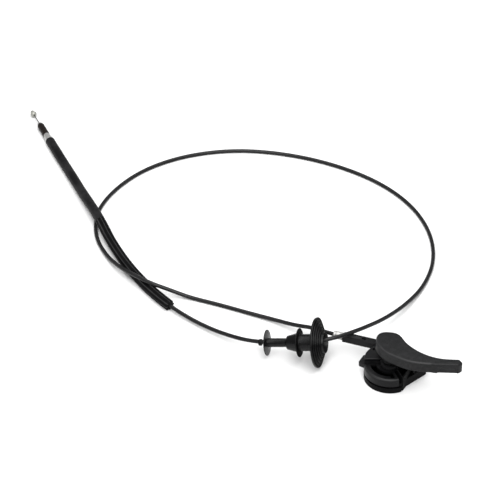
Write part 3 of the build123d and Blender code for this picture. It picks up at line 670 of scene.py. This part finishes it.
class CABLE_OT_grommet(Operator):
    """Makes the rubber grommet and the stop ring beside it"""
    bl_idname = "cable.grommet"
    bl_label = "Grommet and Stop Ring"

    def execute(self, context):
        settings = context.scene.cable_grommet
        rim = settings.bell_diameter / 2 / MM
        rubber = coated("grommet rubber", settings.rubber, (0.006, 0.006, 0.0063), roughness=(0.26, 0.4),
                        grain=(1200.0, 0.05), marks=(50.0, 0.55), specular=0.16)
        steps = []
        count, step_along, step_down = 5, 1.45, 3.35
        for index in range(count):
            top = rim - index * step_down
            foot = 61.2 + index * step_along
            steps += [(foot, top - 0.3), (foot + 0.25, top), (foot + step_along, top - 0.1),
                      (foot + 1.1, top - 2.9)]
        profile = [
            (0.0, 3.1), (0.0, 15.4), (0.9, 15.2), (1.3, 5.3), (23.6, 5.3), (25.5, 8.2), (39.2, 11.7),
            (39.4, 17.0), (40.3, 17.0), (40.7, 10.0), (62.8, 10.2), (60.2, rim - 0.3),
        ] + steps + [
            (68.6, 12.5), (71.3, 12.4), (71.3, 11.5), (63.0, 9.3), (41.4, 9.2), (41.4, 3.1),
        ]

        outside, seam_width, seam_height, shift = 4.5 * MM, 0.035, 0.12 * MM, 0.3

        def relief(distance, radius, angle):
            """A mould seam on either side: a narrow bell curve of the angle. The shift keeps the place
            where the angle starts anew off the seam."""
            seam = np.exp(-((np.mod(angle + shift, np.pi) - shift) / seam_width) ** 2)
            return np.where(radius > outside, seam_height * seam, 0.0)

        axis = straight(GROMMET_START, GROMMET_WAY)
        grommet = add_turned("grommet_rubber", axis, rounded(profile, 0.2, True), True, 128, relief,
                             material=rubber, body=HANDLE, slot="soft_rubber", nodes=["grommet"],
                             sharp=60.0)
        # Painted shade: a less reflective copy of the grommet rubber for the faces that face along the
        # axis
        shaded_matt = coated("shaded matt rubber", (0.003, 0.003, 0.0031), (0.006, 0.006, 0.0063),
                      roughness=(0.55, 0.66), grain=(1200.0, 0.05), marks=(50.0, 0.55), specular=0.02)
        # The faces of the steps and of the thin flange that face along the axis take a duller, less
        # reflective copy of the rubber, which darkens them as painted shade; those of the tail don't
        facing_along, tail = 0.72, 30.0 * MM
        facing = np.abs(face_values(grommet, "normal") @ GROMMET_WAY) > facing_along
        along = (face_values(grommet, "center") - GROMMET_START) @ GROMMET_WAY
        add_finish(grommet, shaded_matt, facing & (along > tail))
        line = on_cable()
        ring = [(0.0, 2.55), (0.0, 4.0), (-3.2, 4.0), (-3.2, 2.55)]
        gap, bore, bulge = 5.0 * MM, 3.0 * MM, 0.9 * MM
        outline = rounded(ring, 0.8, True)
        outline[:, 0] += line.nearest(GROMMET_START) - gap

        def lump(distance, radius, angle):
            """The ring is thicker below: its radius changes with the sine of the angle."""
            return np.where(radius > bore, -bulge * np.sin(angle), 0.0)

        add_turned("stop_ring_clip", line, outline, True, 48, lump, material=rubber, body=HANDLE,
                   slot="drum_plastic", nodes=["stop_ring"])
        return {"FINISHED"}


class CABLE_OT_handle(Operator):
    """Dresses the two shells, the cover with its arm, and the ferrule in it"""
    bl_idname = "cable.handle"
    bl_label = "Housing, Cover and Ferrule"

    def execute(self, context):
        settings = context.scene.cable_handle
        edge = settings.edge / MM
        plastic = coated("shell plastic", settings.shell, (0.008, 0.008, 0.0085), roughness=(0.36, 0.5),
                         grain=(2600.0, 0.03), marks=(60.0, 0.55), specular=0.14)
        # Painted shade: a darker, less reflective copy of the shell plastic for the base shell and for the
        # housing's faces under the groove
        painted_shade = coated("painted shade shell plastic", (0.002, 0.002, 0.0022), (0.005, 0.005, 0.0053),
                       roughness=(0.46, 0.6), grain=(2600.0, 0.03), marks=(60.0, 0.55), specular=0.04)
        # Painted highlight: a paler copy of the shell plastic for the housing's rounded upper rim and the
        # arm's upward faces
        painted_highlight = coated("painted highlight shell plastic", (0.016, 0.016, 0.0165), (0.028, 0.028, 0.029),
                        roughness=(0.36, 0.5), grain=(2600.0, 0.03), marks=(60.0, 0.55), specular=0.14)
        for name, node, finish, below in (("base_shell_moulding", "base_shell", painted_shade, None),
                                          ("housing_moulding", "housing", plastic, (GROOVE_TOP, painted_shade)),
                                          ("cable_cover_moulding", "cable_cover", plastic, None)):
            shell = add_moulding(name, node, finish, HANDLE, "shell_plastic", edge, below=below)
            if node == "housing":
                paint_edge_highlight(shell, painted_highlight, HOUSING_RIM)
            if node == "cable_cover":
                # The arm's upward faces take the painted highlight too
                on_arm = np.linalg.norm(face_values(shell, "center")[:, :2], axis=1) > ARM_FROM
                upward = face_values(shell, "normal")[:, 2] > 0.5
                add_finish(shell, painted_highlight, on_arm & upward)
        metal = bright_metal(context)
        profile = [(-2.0, 1.1), (-2.0, 3.2), (9.6, 3.2), (9.6, 4.7), (11.2, 4.7), (11.6, 4.4), (12.4, 4.4),
                   (12.8, 4.7), (17.2, 4.7), (17.6, 4.4), (18.4, 4.4), (18.8, 4.7), (20.5, 4.6),
                   (20.5, 2.55), (16.0, 2.55), (0.0, 2.52), (0.0, 1.1)]
        line = on_cable()
        outline = rounded(profile, 0.3, True)
        outline[:, 0] = line.length - outline[:, 0]
        add_turned("handle_ferrule_crimped", line, outline, True, 48, material=metal, body=HANDLE,
                   slot="bright_ferrule", nodes=["handle_ferrule"])
        return {"FINISHED"}


class CABLE_OT_lever(Operator):
    """Dresses the lever and the drum that it turns"""
    bl_idname = "cable.lever"
    bl_label = "Lever and Drum"

    def execute(self, context):
        settings = context.scene.cable_handle
        plastic = coated("lever plastic", settings.lever, (0.016, 0.016, 0.017), roughness=(0.4, 0.54),
                         grain=(1400.0, 0.12), marks=(260.0, 0.6), specular=0.15)
        lever = add_moulding("lever_moulding", "lever", plastic, LEVER, "lever_plastic", 0.0)
        # Painted highlight: a paler copy of the lever plastic for the rounded upper edges left of the
        # waist
        painted_highlight = coated("painted highlight lever plastic", (0.022, 0.022, 0.0225), (0.034, 0.034, 0.035),
                        roughness=(0.42, 0.54), grain=(2600.0, 0.06), marks=(45.0, 0.4), specular=0.15)
        paint_edge_highlight(lever, painted_highlight, LEVER_RIM, LEVER_WAIST)
        smooth = coated("drum plastic", (0.012, 0.012, 0.013), (0.024, 0.024, 0.025),
                        roughness=(0.3, 0.45), grain=(1800.0, 0.02), marks=(60.0, 0.4))
        add_moulding("cable_drum_moulding", "cable_drum", smooth, LEVER, "drum_plastic", 0.2)
        return {"FINISHED"}


class CABLE_OT_fasteners(Operator):
    """Dresses the screws, the washer and the nipple in the drum"""
    bl_idname = "cable.fasteners"
    bl_label = "Screws, Washer and Nipple"

    def execute(self, context):
        zinc = coated("zinc plating", (0.5, 0.5, 0.49), (0.36, 0.35, 0.33), roughness=(0.34, 0.5),
                      grain=(1500.0, 0.02), marks=(150.0, 0.5), metallic=1.0, rolled=True)
        for name, node, body in (("base_screws_plated", "base_screws", HANDLE),
                                 ("lever_screw_plated", "lever_screw", LEVER),
                                 ("lever_washer_plated", "lever_washer", LEVER)):
            add_moulding(name, node, zinc, body, "plated_steel", 0.15)
        add_moulding("handle_nipple_cast", "handle_nipple", cast_metal(context), LEVER, "cast_zinc", 0.0)
        return {"FINISHED"}


class CABLE_OT_latch_fittings(Operator):
    """Makes the band, the bullet cap and the cast nipple at the latch end"""
    bl_idname = "cable.latch_fittings"
    bl_label = "Latch Fittings"

    def execute(self, context):
        settings = context.scene.cable_fittings
        axis = straight(ROUTE[-1], latch_way())
        band = [(-32.5, 2.52), (-32.5, 4.9), (-32.1, 5.2), (-29.3, 5.2), (-22.0, 4.5), (-18.0, 4.4),
                (-18.0, 2.52)]
        add_turned("latch_band_rolled", axis, rounded(band, 0.35, True), True, 64,
                   material=bright_metal(context), body=HANDLE, slot="bright_ferrule",
                   nodes=["latch_band"])
        black = coated("cap plastic", settings.cap, (0.012, 0.009, 0.007), roughness=(0.3, 0.42),
                       grain=(1500.0, 0.02), marks=(90.0, 0.4), specular=0.07)
        cap = [(-18.0, 2.52), (-18.0, 4.3), (-17.5, 4.7), (-9.0, 4.7), (-8.6, 4.5), (-7.6, 4.5),
               (-7.2, 4.7), (7.0, 4.7), (11.6, 3.4), (13.0, 2.3), (13.0, 1.1), (0.05, 1.1), (0.05, 2.52)]
        add_turned("latch_cap_bullet", axis, rounded(cap, 0.4, True), True, 64, material=black,
                   body=HANDLE, slot="cap_plastic", nodes=["latch_cap"])
        ball_at, ball_radius, points = 40.5, 4.0, 16
        turn = np.linspace(-0.88, 0.92, points)
        ball = np.column_stack([ball_at + ball_radius * np.sin(turn), ball_radius * np.cos(turn)])
        nipple = [(38.55, 0.0), (38.55, 0.8), (37.6, 0.8), (36.9, 1.6)] + ball.tolist() + [
            (46.9, 2.4), (47.2, 2.0), (47.2, 0.0)]
        add_turned("latch_nipple_cast", axis, rounded(nipple, 0.25, False), False, 48,
                   material=cast_metal(context), body=LATCH, slot="cast_zinc", nodes=["latch_nipple"])
        return {"FINISHED"}


class CABLE_OT_declare(Operator):
    bl_idname = "cable.declare"
    bl_label = "Declare Cord"

    def execute(self, context):
        return {"FINISHED"}


def latch_way():
    """The direction of the conduit's last run."""
    return unit(ROUTE[-1] - ROUTE[-2])


def bright_metal(context):
    """Rolled bright metal, made once."""
    name, clean = "bright rolled metal", context.scene.cable_fittings.metal
    return bpy.data.materials.get(name) or coated(
        name, clean, (0.38, 0.375, 0.36), roughness=(0.38, 0.5), grain=(700.0, 0.015),
        marks=(120.0, 0.5), metallic=0.7, rolled=True)


def cast_metal(context):
    """Dull die-cast metal, made once."""
    name, clean = "die-cast metal", context.scene.cable_fittings.casting
    return bpy.data.materials.get(name) or coated(
        name, clean, (0.26, 0.26, 0.235), roughness=(0.46, 0.6), grain=(1500.0, 0.06),
        marks=(200.0, 0.6), metallic=0.65)


class CABLE_PT_panel(Panel):
    """Lists the operators and the settings in the sidebar"""
    bl_idname = "CABLE_PT_panel"
    bl_label = "Hood Release Cable"
    bl_space_type = "VIEW_3D"
    bl_region_type = "UI"
    bl_category = "Cable"

    def draw(self, context):
        for operator in OPERATORS:
            self.layout.operator(operator.bl_idname)
        for name in SETTINGS:
            group_of = getattr(context.scene, name)
            for key in group_of.bl_rna.properties.keys():
                if key not in ("rna_type", "name"):
                    self.layout.prop(group_of, key)


SETTINGS = {
    "cable_stage": StageSettings, "cable_cable": CableSettings, "cable_sleeves": SleeveSettings,
    "cable_grommet": GrommetSettings, "cable_handle": HandleSettings, "cable_fittings": FittingSettings,
}
OPERATORS = (CABLE_OT_stage, CABLE_OT_conduit, CABLE_OT_wires, CABLE_OT_sleeves, CABLE_OT_grommet,
             CABLE_OT_handle, CABLE_OT_lever, CABLE_OT_fasteners, CABLE_OT_latch_fittings,
             CABLE_OT_declare)


def register():
    for name, settings in SETTINGS.items():
        bpy.utils.register_class(settings)
        setattr(bpy.types.Scene, name, PointerProperty(type=settings))
    for operator in OPERATORS:
        bpy.utils.register_class(operator)
    bpy.utils.register_class(CABLE_PT_panel)


def unregister():
    bpy.utils.unregister_class(CABLE_PT_panel)
    for operator in reversed(OPERATORS):
        bpy.utils.unregister_class(operator)
    for name, settings in reversed(SETTINGS.items()):
        delattr(bpy.types.Scene, name)
        bpy.utils.unregister_class(settings)


def main():
    register()
    bpy.ops.cable.stage()
    bpy.ops.cable.conduit()
    bpy.ops.cable.wires()
    bpy.ops.cable.sleeves()
    bpy.ops.cable.grommet()
    bpy.ops.cable.handle()
    bpy.ops.cable.lever()
    bpy.ops.cable.fasteners()
    bpy.ops.cable.latch_fittings()
    bpy.ops.cable.declare()


if __name__ == "__main__":
    main()
